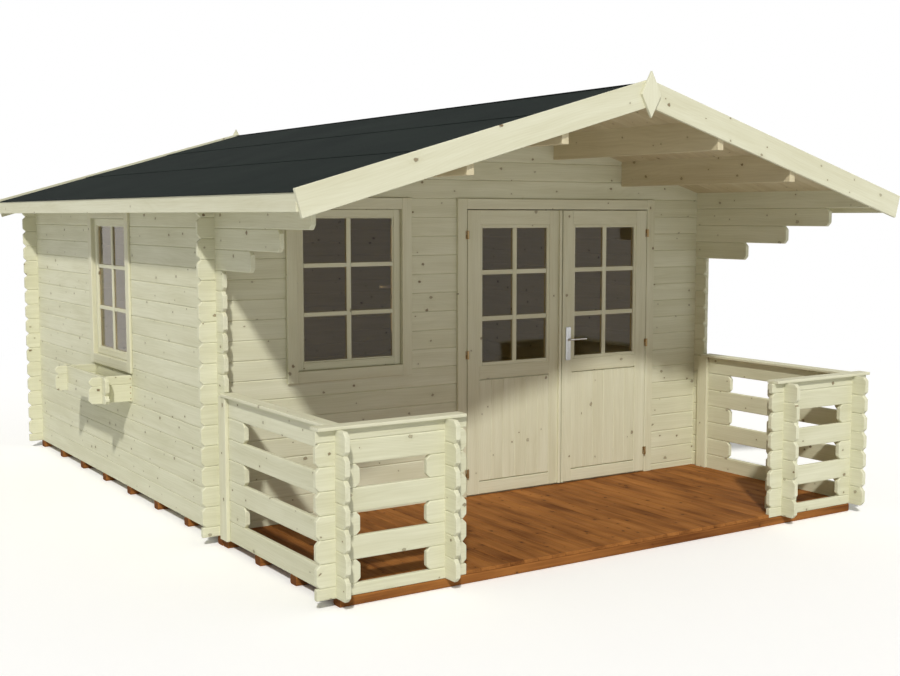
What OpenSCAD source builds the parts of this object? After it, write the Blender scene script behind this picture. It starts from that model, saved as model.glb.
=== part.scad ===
// Log cabin with a railed terrace, double door, two windows and a shallow felted roof.
// Millimetres. Origin on level ground under the outer face of the front wall, middle of
// the width. The front faces -Y, +Z is up. Heights named _z start at the foot of the walls.

/* [Main sizes] */
// width of the house over its side walls
house_w = 3800; // [3500:10:4600]
// length of the house over its end walls
house_l = 3800; // [3100:10:4600]
// depth of the terrace in front of the house
terrace_l = 1450; // [1300:10:1760]
// slope of the roof in degrees
roof_angle = 16; // [12:1:20]

/* [Logs] */
// height of one course of logs
log_h = 120; // [112:1:145]
// thickness of the logs
log_t = 28; // [23:1:40]
// whole courses in a side wall
courses = 16; // [16:1:17]
// height of the cut course on top of them, at its outer face
eave_rise = 107; // [96:1:111]
// length a crossed log runs on past the wall
log_over = 105; // [80:1:126]
// chamfer on the corners of a log's end
end_cut = 22; // [12:1:27]
// depth of the groove at a joint between two logs
groove_d = 4; // [2:1:6]
// half the height of that groove
groove_h = 6; // [3:1:8]
// stepped logs that carry the roof over the terrace
corbels = 3; // [2:1:3]
// reach of the lowest stepped log in front of the house
corbel_first = 495; // [400:5:590]
// how much further each next one reaches
corbel_step = 363; // [250:1:400]

/* [Beams and floors] */
// height of the beams under the cabin
beam_h = 52; // [40:1:70]
// width of those beams
beam_w = 74; // [56:1:88]
// bevel along a beam's edges
beam_cut = 8; // [4:1:12]
// reach of the house's first beam in front of the front wall
beam_out = 40; // [30:1:60]
// beams under the house
house_beams = 8; // [6:1:10]
// beams under the terrace
terrace_beams_n = 4; // [3:1:6]
// distance of the front terrace beam's end from the log's outer face
beam_inset = 23; // [10:1:26]
// the same distance for the other terrace beams
beam_flush = 3; // [0:1:12]
// thickness of the floor boards
floor_t = 20; // [16:1:23]

/* [Roof] */
// overhang of the roof in front of the terrace railing
front_eave = 84; // [60:1:95]
// overhang of the roof behind the house
rear_eave = 213; // [150:1:260]
// overhang of the roof beyond a side wall
side_eave = 234; // [190:1:280]
// thickness of the roof boards
roof_t = 18; // [14:1:24]
// gap under the roof boards where they lie on walls and purlins
roof_seat = 0.2; // [0.1:0.1:0.5]
// thickness of the roofing felt
felt_t = 3; // [2:0.5:5]
// height of the eaves board
fascia_h = 91; // [70:1:110]
// thickness of the eaves board
fascia_t = 18; // [14:1:24]
// width of the bargeboards, square to the slope
barge_w = 143; // [120:1:170]
// thickness of the bargeboards
barge_t = 22; // [16:1:28]
// how far a bargeboard stands above the felt
barge_up = 18; // [10:1:30]
// reach of a bargeboard past the eaves board
barge_out = 16; // [5:1:30]
// height of the purlins
purlin_h = 165; // [120:1:180]
// thickness of the purlins
purlin_t = 45; // [36:1:60]
// distance of the inner purlins from the middle
purlin_in = 565; // [450:5:680]
// distance of the outer purlins from the middle
purlin_out = 1166; // [1000:1:1400]
// bevel on a purlin's lower front corner
purlin_cut = 45; // [20:1:60]
// half the width of the gable's diamond board
finial_w = 70; // [50:1:90]
// height of that board
finial_h = 253; // [200:1:300]
// thickness of that board
finial_t = 18; // [14:1:24]
// height of its top above the bargeboards' peak
finial_up = 43; // [20:1:60]

/* [Door] */
// middle of the double door from the middle of the house
door_x = 603; // [500:1:620]
// width of one door leaf
leaf_w = 764; // [630:1:800]
// thickness of a door leaf
leaf_t = 40; // [34:1:46]
// gap between the two leaves
leaf_gap = 8; // [7:1:12]
// gap between a leaf and its jamb
side_gap = 5; // [5:1:8]
// gap over the threshold and under the head
end_gap = 6; // [5:1:10]
// thickness of the jambs and the head
jamb_t = 30; // [24:1:38]
// height of the threshold over the foot of the wall
sill_h = 24; // [22:1:30]
// depth of wall left over the door opening
lintel_h = 38; // [30:1:50]
// width of the stile beside the glass, bead included
stile_w = 118; // [110:1:150]
// width of the stile beside the boarded panel
panel_stile = 96; // [90:1:128]
// height of the rail over the glass
top_rail = 117; // [90:1:140]
// height of the boarded panel
panel_h = 686; // [500:1:760]
// height of the rail under the boarded panel
foot_rail = 81; // [60:1:120]
// height of the rail between panel and glass
mid_rail = 110; // [80:1:140]
// depth the boarded panel lies back from the leaf's face
panel_back = 8; // [4:1:12]
// width of the half strip on each leaf's meeting edge
strip_w = 20; // [14:1:26]
// thickness of those half strips
strip_t = 15; // [8:1:20]

/* [Hinges and handle] */
// radius of a hinge barrel
barrel_r = 8; // [6:0.5:9]
// length of a hinge barrel
barrel_l = 54; // [46:1:80]
// radius of the hinge pin
pin_r = 3.5; // [2.5:0.5:4]
// clearance between pin and barrel
pin_gap = 0.4; // [0.3:0.1:0.6]
// distance between the two halves of a barrel
barrel_gap = 1; // [0.5:0.5:2]
// distance from a barrel to the face of the door
barrel_off = 1; // [0.5:0.5:2]
// width of a hinge plate beside the barrel
plate_w = 5; // [4:1:30]
// thickness of a hinge plate
plate_t = 2; // [1.5:0.5:3]
// height of the lowest hinges above the foot of the walls
hinge_low = 178; // [150:1:260]
// height of the middle hinges
hinge_mid = 964; // [880:1:1060]
// height of the highest hinges
hinge_high = 1746; // [1690:1:1790]
// width of the handle's long plate
rose_w = 40; // [30:1:50]
// height of the handle's long plate
rose_h = 232; // [180:1:260]
// thickness of the handle's long plate
rose_t = 8; // [5:1:12]
// middle of the handle's plate from the leaf's meeting edge
rose_in = 58; // [48:1:66]
// height of the lever above the foot of the walls
lever_z = 1023; // [950:1:1100]
// height of the lever above the middle of its plate
lever_up = 29; // [0:1:60]
// length of the lever from its spindle
lever_l = 134; // [110:1:150]
// height and depth of the lever's bar
lever_t = 14; // [10:1:20]
// distance of the lever's bar from the plate
lever_out = 26; // [20:1:40]
// radius of the lever's spindle
spindle_r = 9; // [7:1:12]
// gap between spindle and plate
spindle_gap = 0.3; // [0.2:0.1:0.5]

/* [Windows] */
// width of a window over its trim
win_w = 870; // [720:1:1000]
// height of a window over its trim
win_h = 1115; // [940:1:1300]
// width of the trim boards round the openings
trim_w = 70; // [55:1:90]
// thickness of the trim boards
trim_t = 18; // [14:1:22]
// thickness of the lining in a window opening
lining_t = 20; // [14:1:26]
// width of the sash round the glass
sash_w = 56; // [45:1:75]
// thickness of the sash
sash_t = 36; // [30:1:44]
// distance the sash's face lies back from the wall's face
sash_in = 10; // [0:1:14]
// thickness of the glass
glass_t = 4; // [3:1:6]
// middle of the front window from the middle of the house
front_win_x = -1021; // [-1060:1:-960]
// middle of the side window from the front wall
side_win_y = 1900; // [1500:10:2200]

/* [Flower box] */
// length of the flower box over its end boards
box_l = 820; // [700:1:980]
// depth of the flower box from the wall
box_d = 211; // [170:1:260]
// height of the flower box above the foot of the walls
box_z = 612; // [560:1:620]
// height of the flower box
box_h = 180; // [150:1:184]
// length its boards run on past the corners
box_over = 84; // [60:1:100]
// thickness of its floor board
box_floor = 18; // [14:1:24]

/* [Railings] */
// courses of logs in a railing
rail_courses = 7; // [7:2:9]
// inner end of a front railing from the middle
gate_x = 1131; // [900:1:1160]
// face of the inner post of crossed blocks from the middle
post_x = 1237; // [1000:1:1260]
// length a short block runs on past the crossing, inside
block_in = 110; // [80:1:130]
// length of the short blocks against the house
block_house = 267; // [180:1:320]
// width of the capping boards
cap_w = 90; // [70:1:110]
// thickness of the capping boards
cap_t = 18; // [14:1:24]
// distance of a front capping board's end from the end of its railing
cap_back = 18; // [0:1:40]
// width of the battens over the joint with the house
batten_w = 95; // [80:1:110]
// thickness of those battens
batten_t = 23; // [16:1:28]
// front edge of a batten past the end of the wall's logs
batten_past = 50; // [40:1:60]

/* [Build] */
// which piece to build

/* [Hidden] */
$fn = 48;
pale = [0.86, 0.82, 0.68];
trim_pale = [0.88, 0.84, 0.70];
brown = [0.52, 0.33, 0.17];
felt_black = [0.16, 0.18, 0.18];
glass_grey = [0.30, 0.28, 0.24, 0.6];
bronze = [0.60, 0.46, 0.28];
silver = [0.72, 0.73, 0.74];
// a cutter runs this far past the face it cuts
past = 1;
// half sizes and the main levels
half_w = house_w / 2;
slope = tan(roof_angle);
wall_z = beam_h;
wall_top = (courses + 0.5) * log_h;
eave_z = courses * log_h + eave_rise;
ridge_z = eave_z + slope * half_w;
sky_z = ridge_z + 2 * log_h;
roof_z = ridge_z + roof_seat;
boards_v = roof_t / cos(roof_angle);
felt_v = felt_t / cos(roof_angle);
// roof edges: the bargeboards' inner faces, the eaves boards' outer faces
roof_y0 = -terrace_l - front_eave;
roof_y1 = house_l + rear_eave;
roof_x = half_w + side_eave;
barge_top = roof_z + boards_v + felt_v + barge_up;
barge_end = roof_x + barge_out;
// door levels and edges
leaf_z0 = sill_h + end_gap;
head_z = wall_top - lintel_h - jamb_t;
leaf_z1 = head_z - end_gap;
clear_w = 2 * leaf_w + leaf_gap + 2 * side_gap;
hole_x0 = door_x - clear_w / 2 - jamb_t;
hole_x1 = door_x + clear_w / 2 + jamb_t;
left_leaf_x0 = door_x - leaf_gap / 2 - leaf_w;
right_leaf_x0 = door_x + leaf_gap / 2;
leaf_face = -trim_t;
panel_z0 = leaf_z0 + foot_rail;
pane_z0 = panel_z0 + panel_h + mid_rail;
pane_z1 = leaf_z1 - top_rail;
hinge_x0 = door_x - clear_w / 2 + side_gap / 2;
hinge_x1 = door_x + clear_w / 2 - side_gap / 2;
hinge_y = leaf_face - barrel_r - barrel_off;
hinge_z = [hinge_low, hinge_mid, hinge_high];
lever_x = right_leaf_x0 + rose_in;
// windows: outline of the hole in the wall, the clear opening and the glass
win_hole_w = win_w - 2 * (trim_w - lining_t);
win_hole_h = win_h - 2 * (trim_w - lining_t);
win_open_w = win_w - 2 * trim_w;
win_open_h = win_h - 2 * trim_w;
win_glass_w = win_open_w - 2 * sash_w;
win_glass_h = win_open_h - 2 * sash_w;
front_win_z = wall_top - win_h / 2;
side_win_z = courses * log_h - win_h / 2;
// railing levels and edges
rail_top = rail_courses * log_h;
rail_y = -terrace_l;
rail_in_y = rail_y + log_t;
stub_x = half_w + log_over;
stub_y = -terrace_l - log_over;
rear_end = house_l + log_over;
cap_y0 = rail_y + log_t / 2 - cap_w / 2;
cap_y1 = cap_y0 + cap_w;
cap_x0 = half_w - log_t / 2 - cap_w / 2;
batten_y = -log_over - batten_past;

// top of walls and purlins at a distance from the middle, and the boards' underside there
function under(x) = ridge_z - slope * abs(x);
function deck(x) = roof_z - slope * abs(x);
// front end of the side wall's log in course k
function front_end(k) = k >= courses ? roof_y0
  : k < courses - corbels ? -log_over
  : -corbel_first - (k - courses + corbels) * corbel_step;
// a log's end going up and going down; the log lies on side s of its end e
function end_up(e, s, lo, hi) = [[e + s * end_cut, lo], [e, lo + end_cut],
  [e, hi - end_cut], [e + s * end_cut, hi]];
function end_down(e, s, lo, hi) = [[e + s * end_cut, hi], [e, hi - end_cut],
  [e, lo + end_cut], [e + s * end_cut, lo]];
// the half log at the foot of an end wall or a front railing has one chamfer
function foot_up(e, s) = [[e, 0], [e, log_h / 2 - end_cut], [e + s * end_cut, log_h / 2]];
function foot_down(e, s) = [[e + s * end_cut, log_h / 2], [e, log_h / 2 - end_cut], [e, 0]];
// section through a band of logs, grooved on both faces at its joints
function band(joints, top_a, top_b) = concat(
  [[0, 0]],
  [for (j = joints) each [[0, j - groove_h], [groove_d, j], [0, j + groove_h]]],
  [[0, top_a], [log_t, top_b]],
  [for (i = [len(joints) - 1 : -1 : 0]) each [[log_t, joints[i] + groove_h],
    [log_t - groove_d, joints[i]], [log_t, joints[i] - groove_h]]],
  [[log_t, 0]]);
y_joints = [for (k = [1:courses]) k * log_h];
x_joints = [for (j = [0.5 : 1 : ridge_z / log_h]) j * log_h];

// band of logs along Y with its outer face at x, from y0 to y1
module y_band(x, y0, y1, top_a, top_b) {
  translate([x, y1, wall_z])
    rotate([90, 0, 0])
      linear_extrude(y1 - y0)
        polygon(band([for (j = y_joints) if (j < min(top_a, top_b) - groove_h) j], top_a, top_b));
}

// band of logs along X with its outer face at y, from x0 to x1
module x_band(y, x0, x1, top) {
  translate([x0, y, wall_z])
    rotate([90, 0, 90])
      linear_extrude(x1 - x0)
        polygon(band([for (j = x_joints) if (j < top - groove_h) j], top, top));
}

// upright slab in the plane of Y and Z, from a list of points
module y_slab(x, t, points) {
  translate([x, 0, wall_z])
    rotate([90, 0, 90])
      linear_extrude(t)
        polygon(points);
}

// upright slab in the plane of X and Z, from a list of points
module x_slab(y, t, points) {
  translate([0, y + t, wall_z])
    rotate([90, 0, 0])
      linear_extrude(t)
        polygon(points);
}

// box between two corners, heights from the foot of the walls
module block(x0, x1, y0, y1, z0, z1) {
  translate([x0, y0, wall_z + z0])
    cube([x1 - x0, y1 - y0, z1 - z0]);
}

// copy on the other side of the house too
module both_sides() {
  children();
  mirror([1, 0, 0])
    children();
}

// what the X logs take out of the Y logs where they cross at face y
module x_log_halves(x, y, first, last, top) {
  for (c = [first:last])
    block(x - past, x + log_t + past, y, y + log_t,
      c == 0 ? -past : (c - 0.25) * log_h, c == last ? top : (c + 0.25) * log_h);
}

// what the Y logs take out of the X logs where they cross at face x
module y_log_halves(x, y, last) {
  for (k = [0:last])
    block(x, x + log_t, y - past, y + log_t + past, (k + 0.25) * log_h, (k + 0.75) * log_h);
}

// one beam along X, edges bevelled
module beam(y, length) {
  translate([-length / 2, y, 0])
    rotate([90, 0, 90])
      linear_extrude(length)
        polygon([[-beam_w / 2, beam_cut], [beam_cut - beam_w / 2, 0],
          [beam_w / 2 - beam_cut, 0], [beam_w / 2, beam_cut],
          [beam_w / 2, beam_h], [-beam_w / 2, beam_h]]);
}

module foundation_beams() {
  first = beam_w / 2 - beam_out;
  last = house_l - beam_w / 2;
  color(brown)
    for (i = [0 : house_beams - 1])
      beam(first + (last - first) * i / (house_beams - 1), house_w);
}

module terrace_beams() {
  first = -beam_out - beam_w / 2;
  last = rail_y + beam_w / 2;
  color(brown) {
    for (i = [0 : terrace_beams_n - 2])
      beam(first + (last - first) * i / (terrace_beams_n - 1), house_w - 2 * beam_flush);
    beam(last, house_w - 2 * beam_inset);
  }
}

module house_floor() {
  color(pale)
    block(log_t - half_w, half_w - log_t, log_t, house_l - log_t, 0, floor_t);
}

module terrace_floor() {
  color(brown)
    difference() {
      block(log_t - half_w, half_w - log_t, rail_y, 0, 0, floor_t);
      both_sides()
        block(gate_x, half_w, rail_y - past, rail_in_y, -past, floor_t + past);
      both_sides()
        block(post_x, post_x + log_t, rail_y, rail_in_y + block_in, -past, floor_t + past);
    }
}

// outline of a side wall in Y and Z
side_outline = concat(
  [for (k = [0 : courses - 1]) each end_up(front_end(k), 1, k * log_h, (k + 1) * log_h)],
  [[roof_y0, courses * log_h], [roof_y0, sky_z], [rear_end, sky_z]],
  [[rear_end, courses * log_h + end_cut], [rear_end - end_cut, courses * log_h]],
  [for (k = [courses - 1 : -1 : 0]) each end_down(rear_end, -1, k * log_h, (k + 1) * log_h)]);

// a side wall at the left; the right one is its mirror image without the window
module side_wall() {
  difference() {
    intersection() {
      y_band(-half_w, roof_y0 - past, rear_end + past, eave_z, eave_z + slope * log_t);
      y_slab(-half_w - past, log_t + 2 * past, side_outline);
    }
    x_log_halves(-half_w, 0, 0, courses + 1, sky_z);
    x_log_halves(-half_w, house_l - log_t, 0, courses + 1, sky_z);
  }
}

module left_wall() {
  color(pale)
    difference() {
      side_wall();
      block(-half_w - past, log_t - half_w + past, side_win_y - win_hole_w / 2,
        side_win_y + win_hole_w / 2, side_win_z - win_hole_h / 2, side_win_z + win_hole_h / 2);
    }
}

module right_wall() {
  color(pale)
    mirror([1, 0, 0])
      side_wall();
}

// outline of an end wall between two ends; flat where there is no crossed end
function end_wall_outline(x0, x1, left_end, right_end) = concat(
  left_end ? foot_up(x0, 1) : [[x0, 0]],
  left_end ? [for (c = [1:courses]) each end_up(x0, 1, (c - 0.5) * log_h, (c + 0.5) * log_h)]
    : [[x0, wall_top]],
  right_end ? [for (c = [courses : -1 : 1]) each
    end_down(x1, -1, (c - 0.5) * log_h, (c + 0.5) * log_h)] : [[x1, wall_top]],
  right_end ? foot_down(x1, -1) : [[x1, 0]]);

// an end wall whose outer or front face is at y
module end_wall(y, x0, x1, left_end, right_end) {
  difference() {
    intersection() {
      x_band(y, x0 - past, x1 + past, sky_z);
      x_slab(y - past, log_t + 2 * past, end_wall_outline(x0, x1, left_end, right_end));
    }
    both_sides()
      y_log_halves(-half_w, y, courses);
  }
}

module front_wall_left() {
  color(pale)
    difference() {
      end_wall(0, -stub_x, hole_x0, true, false);
      block(front_win_x - win_hole_w / 2, front_win_x + win_hole_w / 2, -past, log_t + past,
        front_win_z - win_hole_h / 2, front_win_z + win_hole_h / 2);
    }
}

module front_wall_right() {
  color(pale)
    end_wall(0, hole_x1, stub_x, false, true);
}

module rear_wall() {
  color(pale)
    end_wall(house_l - log_t, -stub_x, stub_x, true, true);
}

// a gable at y over a straight wall top, or with the strip over the door
module gable(y, over_door) {
  foot = over_door ? [[hole_x0, wall_top], [hole_x0, wall_top - lintel_h],
    [hole_x1, wall_top - lintel_h], [hole_x1, wall_top]] : [];
  difference() {
    intersection() {
      x_band(y, -half_w - past, half_w + past, sky_z);
      x_slab(y - past, log_t + 2 * past, concat([[-half_w, wall_top]], foot,
        [[half_w, wall_top], [half_w, eave_z], [0, ridge_z], [-half_w, eave_z]]));
    }
    both_sides()
      y_log_halves(-half_w, y, courses);
    both_sides()
      purlin(purlin_in, 0);
    both_sides()
      purlin(purlin_out, 0);
  }
}

module front_gable() {
  color(pale)
    gable(0, true);
}

module rear_gable() {
  color(pale)
    gable(house_l - log_t, false);
}

// a purlin at x under the slope, with a bevel at its lower front corner
module purlin(x, cut) {
  foot = under(x) - purlin_h;
  difference() {
    translate([0, roof_y1, wall_z])
      rotate([90, 0, 0])
        linear_extrude(roof_y1 - roof_y0)
          polygon([[x - purlin_t / 2, foot], [x + purlin_t / 2, foot],
            [x + purlin_t / 2, under(x + purlin_t / 2)],
            [x - purlin_t / 2, under(x - purlin_t / 2)]]);
    if (cut > 0)
      y_slab(x - purlin_t / 2 - past, purlin_t + 2 * past,
        [[roof_y0 - past, foot - past], [roof_y0 + cut + past, foot - past],
          [roof_y0 - past, foot + cut + past]]);
  }
}

module roof_purlins() {
  color(pale) {
    both_sides()
      purlin(purlin_in, purlin_cut);
    both_sides()
      purlin(purlin_out, purlin_cut);
  }
}

// the right half of the roof boards
module roof_half() {
  edge = roof_x - fascia_t;
  translate([0, roof_y1, wall_z])
    rotate([90, 0, 0])
      linear_extrude(roof_y1 - roof_y0)
        polygon([[0, roof_z], [edge, deck(edge)], [edge, deck(edge) + boards_v],
          [0, roof_z + boards_v]]);
}

module roof_boards_right() {
  color(pale)
    roof_half();
}

module roof_boards_left() {
  color(pale)
    mirror([1, 0, 0])
      roof_half();
}

module roofing_felt() {
  base = roof_z + boards_v;
  edge_z = deck(roof_x) + boards_v;
  color(felt_black)
    translate([0, roof_y1, wall_z])
      rotate([90, 0, 0])
        linear_extrude(roof_y1 - roof_y0)
          polygon([[-roof_x, edge_z], [0, base], [roof_x, edge_z], [roof_x, edge_z + felt_v],
            [0, base + felt_v], [-roof_x, edge_z + felt_v]]);
}

module eaves_fascias() {
  edge_z = deck(roof_x) + boards_v;
  inner = roof_x - fascia_t;
  color(trim_pale)
    both_sides()
      translate([0, roof_y1, wall_z])
        rotate([90, 0, 0])
          linear_extrude(roof_y1 - roof_y0)
            polygon([[inner, edge_z - fascia_h], [roof_x, edge_z - fascia_h],
              [roof_x, edge_z], [inner, deck(inner) + boards_v]]);
}

// the right bargeboard of a gable, its front face at y
module bargeboard(y) {
  tip_z = barge_top - slope * barge_end;
  x_slab(y, barge_t, [[0, barge_top], [barge_end, tip_z],
    [barge_end - barge_w * sin(roof_angle), tip_z - barge_w * cos(roof_angle)],
    [0, barge_top - barge_w / cos(roof_angle)]]);
}

module front_bargeboard_right() {
  color(trim_pale)
    bargeboard(roof_y0 - barge_t);
}

module front_bargeboard_left() {
  color(trim_pale)
    mirror([1, 0, 0])
      bargeboard(roof_y0 - barge_t);
}

module rear_bargeboard_right() {
  color(trim_pale)
    bargeboard(roof_y1);
}

module rear_bargeboard_left() {
  color(trim_pale)
    mirror([1, 0, 0])
      bargeboard(roof_y1);
}

// a diamond board on each gable's peak
module finial(y) {
  tip = barge_top + finial_up;
  x_slab(y, finial_t, [[0, tip - finial_h], [finial_w, tip - finial_h / 2], [0, tip],
    [-finial_w, tip - finial_h / 2]]);
}

module gable_finials() {
  color(trim_pale) {
    finial(roof_y0 - barge_t - finial_t);
    finial(roof_y1 + barge_t);
  }
}

module door_frame() {
  outer_x0 = hole_x0 + jamb_t - trim_w;
  outer_x1 = hole_x1 - jamb_t + trim_w;
  color(trim_pale)
    difference() {
      union() {
        block(outer_x0, outer_x1, -trim_t, 0, floor_t, wall_top);
        block(outer_x0, outer_x1, log_t, log_t + trim_t, floor_t, wall_top);
        block(hole_x0, hole_x1, 0, log_t, 0, wall_top - lintel_h);
      }
      block(hole_x0 + jamb_t, hole_x1 - jamb_t, -trim_t - past, log_t + trim_t + past,
        sill_h, head_z);
      block(hole_x0 + jamb_t, hole_x1 - jamb_t, -trim_t - past, 0, -past, sill_h + past);
      block(hole_x0 + jamb_t, hole_x1 - jamb_t, log_t, log_t + trim_t + past,
        -past, sill_h + past);
    }
}

// one door leaf from its left edge: glazed above, boarded below
module leaf(x) {
  difference() {
    block(x, x + leaf_w, leaf_face, leaf_face + leaf_t, leaf_z0, leaf_z1);
    block(x + stile_w, x + leaf_w - stile_w, leaf_face - past, leaf_face + leaf_t + past,
      pane_z0, pane_z1);
    block(x + panel_stile, x + leaf_w - panel_stile, leaf_face - past,
      leaf_face + panel_back, panel_z0, panel_z0 + panel_h);
    block(x + panel_stile, x + leaf_w - panel_stile, leaf_face + leaf_t - panel_back,
      leaf_face + leaf_t + past, panel_z0, panel_z0 + panel_h);
  }
}

// half of the strip over the joint of the two leaves, from its left edge
module half_strip(x) {
  block(x, x + strip_w, leaf_face - strip_t, leaf_face, leaf_z0, leaf_z1);
}

module left_door() {
  color(trim_pale) {
    leaf(left_leaf_x0);
    half_strip(left_leaf_x0 + leaf_w - strip_w);
  }
}

module right_door() {
  color(trim_pale) {
    leaf(right_leaf_x0);
    half_strip(right_leaf_x0);
  }
}

// the pane of a leaf
module leaf_pane(x) {
  middle = leaf_face + leaf_t / 2;
  block(x + stile_w, x + leaf_w - stile_w, middle - glass_t / 2, middle + glass_t / 2,
    pane_z0, pane_z1);
}

module left_door_glass() {
  color(glass_grey)
    leaf_pane(left_leaf_x0);
}

module right_door_glass() {
  color(glass_grey)
    leaf_pane(right_leaf_x0);
}

// half a hinge: plate on side s of the pin, knuckle from z0 to z1
module hinge_half(x, s, z, z0, z1) {
  near = barrel_r + barrel_off;
  far = near + plate_w;
  block(min(x + s * near, x + s * far), max(x + s * near, x + s * far),
    leaf_face - plate_t, leaf_face, z - barrel_l / 2, z + barrel_l / 2);
  block(min(x, x + s * near), max(x, x + s * near), leaf_face - plate_t, leaf_face, z0, z1);
  translate([x, hinge_y, wall_z + z0])
    cylinder(r = barrel_r, h = z1 - z0);
}

// the half on the frame carries the pin
module frame_hinge(x, s, z) {
  hinge_half(x, s, z, z - barrel_l / 2, z - barrel_gap / 2);
  translate([x, hinge_y, wall_z + z - barrel_l / 4])
    cylinder(r = pin_r, h = barrel_l / 2 + barrel_l / 4);
}

// the half on the leaf turns on it
module leaf_hinge(x, s, z) {
  difference() {
    hinge_half(x, s, z, z + barrel_gap / 2, z + barrel_l / 2);
    translate([x, hinge_y, wall_z + z])
      cylinder(r = pin_r + pin_gap, h = barrel_l);
  }
}

module frame_hinges() {
  color(bronze)
    for (z = hinge_z) {
      frame_hinge(hinge_x0, -1, z);
      frame_hinge(hinge_x1, 1, z);
    }
}

module left_door_hinges() {
  color(bronze)
    for (z = hinge_z)
      leaf_hinge(hinge_x0, 1, z);
}

module right_door_hinges() {
  color(bronze)
    for (z = hinge_z)
      leaf_hinge(hinge_x1, -1, z);
}

module door_handle_plate() {
  middle = lever_z - lever_up;
  color(silver)
    block(lever_x - rose_w / 2, lever_x + rose_w / 2, leaf_face - rose_t, leaf_face,
      middle - rose_h / 2, middle + rose_h / 2);
}

module door_handle_lever() {
  face = leaf_face - rose_t;
  color(silver) {
    translate([lever_x, face - spindle_gap, wall_z + lever_z])
      rotate([90, 0, 0])
        cylinder(r = spindle_r, h = lever_out + lever_t - spindle_gap);
    block(lever_x, lever_x + lever_l, face - lever_out - lever_t, face - lever_out,
      lever_z - lever_t / 2, lever_z + lever_t / 2);
  }
}

// a window drawn round its own middle, outer side towards -Y, wall's outer face at y 0
module ring(w, h, hole_w, hole_h, y0, y1) {
  difference() {
    translate([-w / 2, y0, -h / 2])
      cube([w, y1 - y0, h]);
    translate([-hole_w / 2, y0 - past, -hole_h / 2])
      cube([hole_w, y1 - y0 + 2 * past, hole_h]);
  }
}

module window_trim() {
  ring(win_w, win_h, win_open_w, win_open_h, -trim_t, 0);
  ring(win_hole_w, win_hole_h, win_open_w, win_open_h, 0, log_t);
  ring(win_w, win_h, win_open_w, win_open_h, log_t, log_t + trim_t);
}

module window_sash() {
  ring(win_open_w, win_open_h, win_glass_w, win_glass_h, sash_in, sash_in + sash_t);
}

module window_glass() {
  translate([-win_glass_w / 2, sash_in + sash_t / 2 - glass_t / 2, -win_glass_h / 2])
    cube([win_glass_w, glass_t, win_glass_h]);
}

// places a window in the front wall or in the left wall
module in_front_wall() {
  translate([front_win_x, 0, wall_z + front_win_z])
    children();
}

module in_left_wall() {
  translate([-half_w, side_win_y, wall_z + side_win_z])
    rotate([0, 0, -90])
      children();
}

module front_window_trim() {
  color(trim_pale)
    in_front_wall()
      window_trim();
}

module front_window_sash() {
  color(trim_pale)
    in_front_wall()
      window_sash();
}

module front_window_glass() {
  color(glass_grey)
    in_front_wall()
      window_glass();
}

module side_window_trim() {
  color(trim_pale)
    in_left_wall()
      window_trim();
}

module side_window_sash() {
  color(trim_pale)
    in_left_wall()
      window_sash();
}

module side_window_glass() {
  color(glass_grey)
    in_left_wall()
      window_glass();
}

// small crossed logs round a trough on the left wall
module flower_box() {
  y0 = side_win_y - box_l / 2;
  y1 = side_win_y + box_l / 2;
  x0 = -half_w - box_d;
  top = box_z + box_h;
  low = box_z + box_h / 3;
  high = top - box_h / 3;
  color(pale) {
    y_slab(x0, log_t, concat(end_up(y0 - box_over, 1, box_z, low),
      end_up(y0 - box_over, 1, low, top), end_down(y1 + box_over, -1, low, top),
      end_down(y1 + box_over, -1, box_z, low)));
    for (y = [y0, y1 - log_t])
      x_slab(y, log_t, concat(end_up(x0 - box_over, 1, box_z, high),
        end_up(x0 - box_over, 1, high, top), [[-half_w, top], [-half_w, box_z]]));
    block(x0 + log_t, -half_w, y0 + log_t, y1 - log_t, box_z, box_z + box_floor);
  }
}

module side_railing_left() {
  color(pale)
    side_railing();
}

module side_railing_right() {
  color(pale)
    mirror([1, 0, 0])
      side_railing();
}

// a log along Y in course k between two free ends, or square at y0 or y1
function y_log(y0, y1, k) = concat(end_up(y0, 1, k * log_h, (k + 1) * log_h),
  end_down(y1, -1, k * log_h, (k + 1) * log_h));
function y_log_square(y0, y1, k) = concat(end_up(y0, 1, k * log_h, (k + 1) * log_h),
  [[y1, (k + 1) * log_h], [y1, k * log_h]]);

// the railing along the left side: whole logs with short blocks between
module side_railing() {
  difference() {
    intersection() {
      y_band(-half_w, stub_y - past, 0, rail_top, rail_top);
      union() {
        for (k = [0 : 2 : rail_courses - 1])
          y_slab(-half_w - past, log_t + 2 * past, y_log_square(stub_y, -log_over, k));
        for (k = [1 : 2 : rail_courses - 1]) {
          y_slab(-half_w - past, log_t + 2 * past,
            y_log(stub_y, rail_in_y + block_in, k));
          y_slab(-half_w - past, log_t + 2 * past,
            y_log_square(-log_over - block_house, -log_over, k));
        }
      }
    }
    x_log_halves(-half_w, rail_y, 0, rail_courses, rail_top + past);
  }
}

// a log along X from x0 to x1 in course c; the first and the last are half as high
function x_log(x0, x1, c) = c == 0 ? concat(foot_up(x0, 1), foot_down(x1, -1))
  : c == rail_courses ? [[x0 + end_cut, (c - 0.5) * log_h],
    [x0, (c - 0.5) * log_h + end_cut], [x0, rail_top], [x1, rail_top],
    [x1, (c - 0.5) * log_h + end_cut], [x1 - end_cut, (c - 0.5) * log_h]]
  : concat(end_up(x0, 1, (c - 0.5) * log_h, (c + 0.5) * log_h),
    end_down(x1, -1, (c - 0.5) * log_h, (c + 0.5) * log_h));

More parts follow.
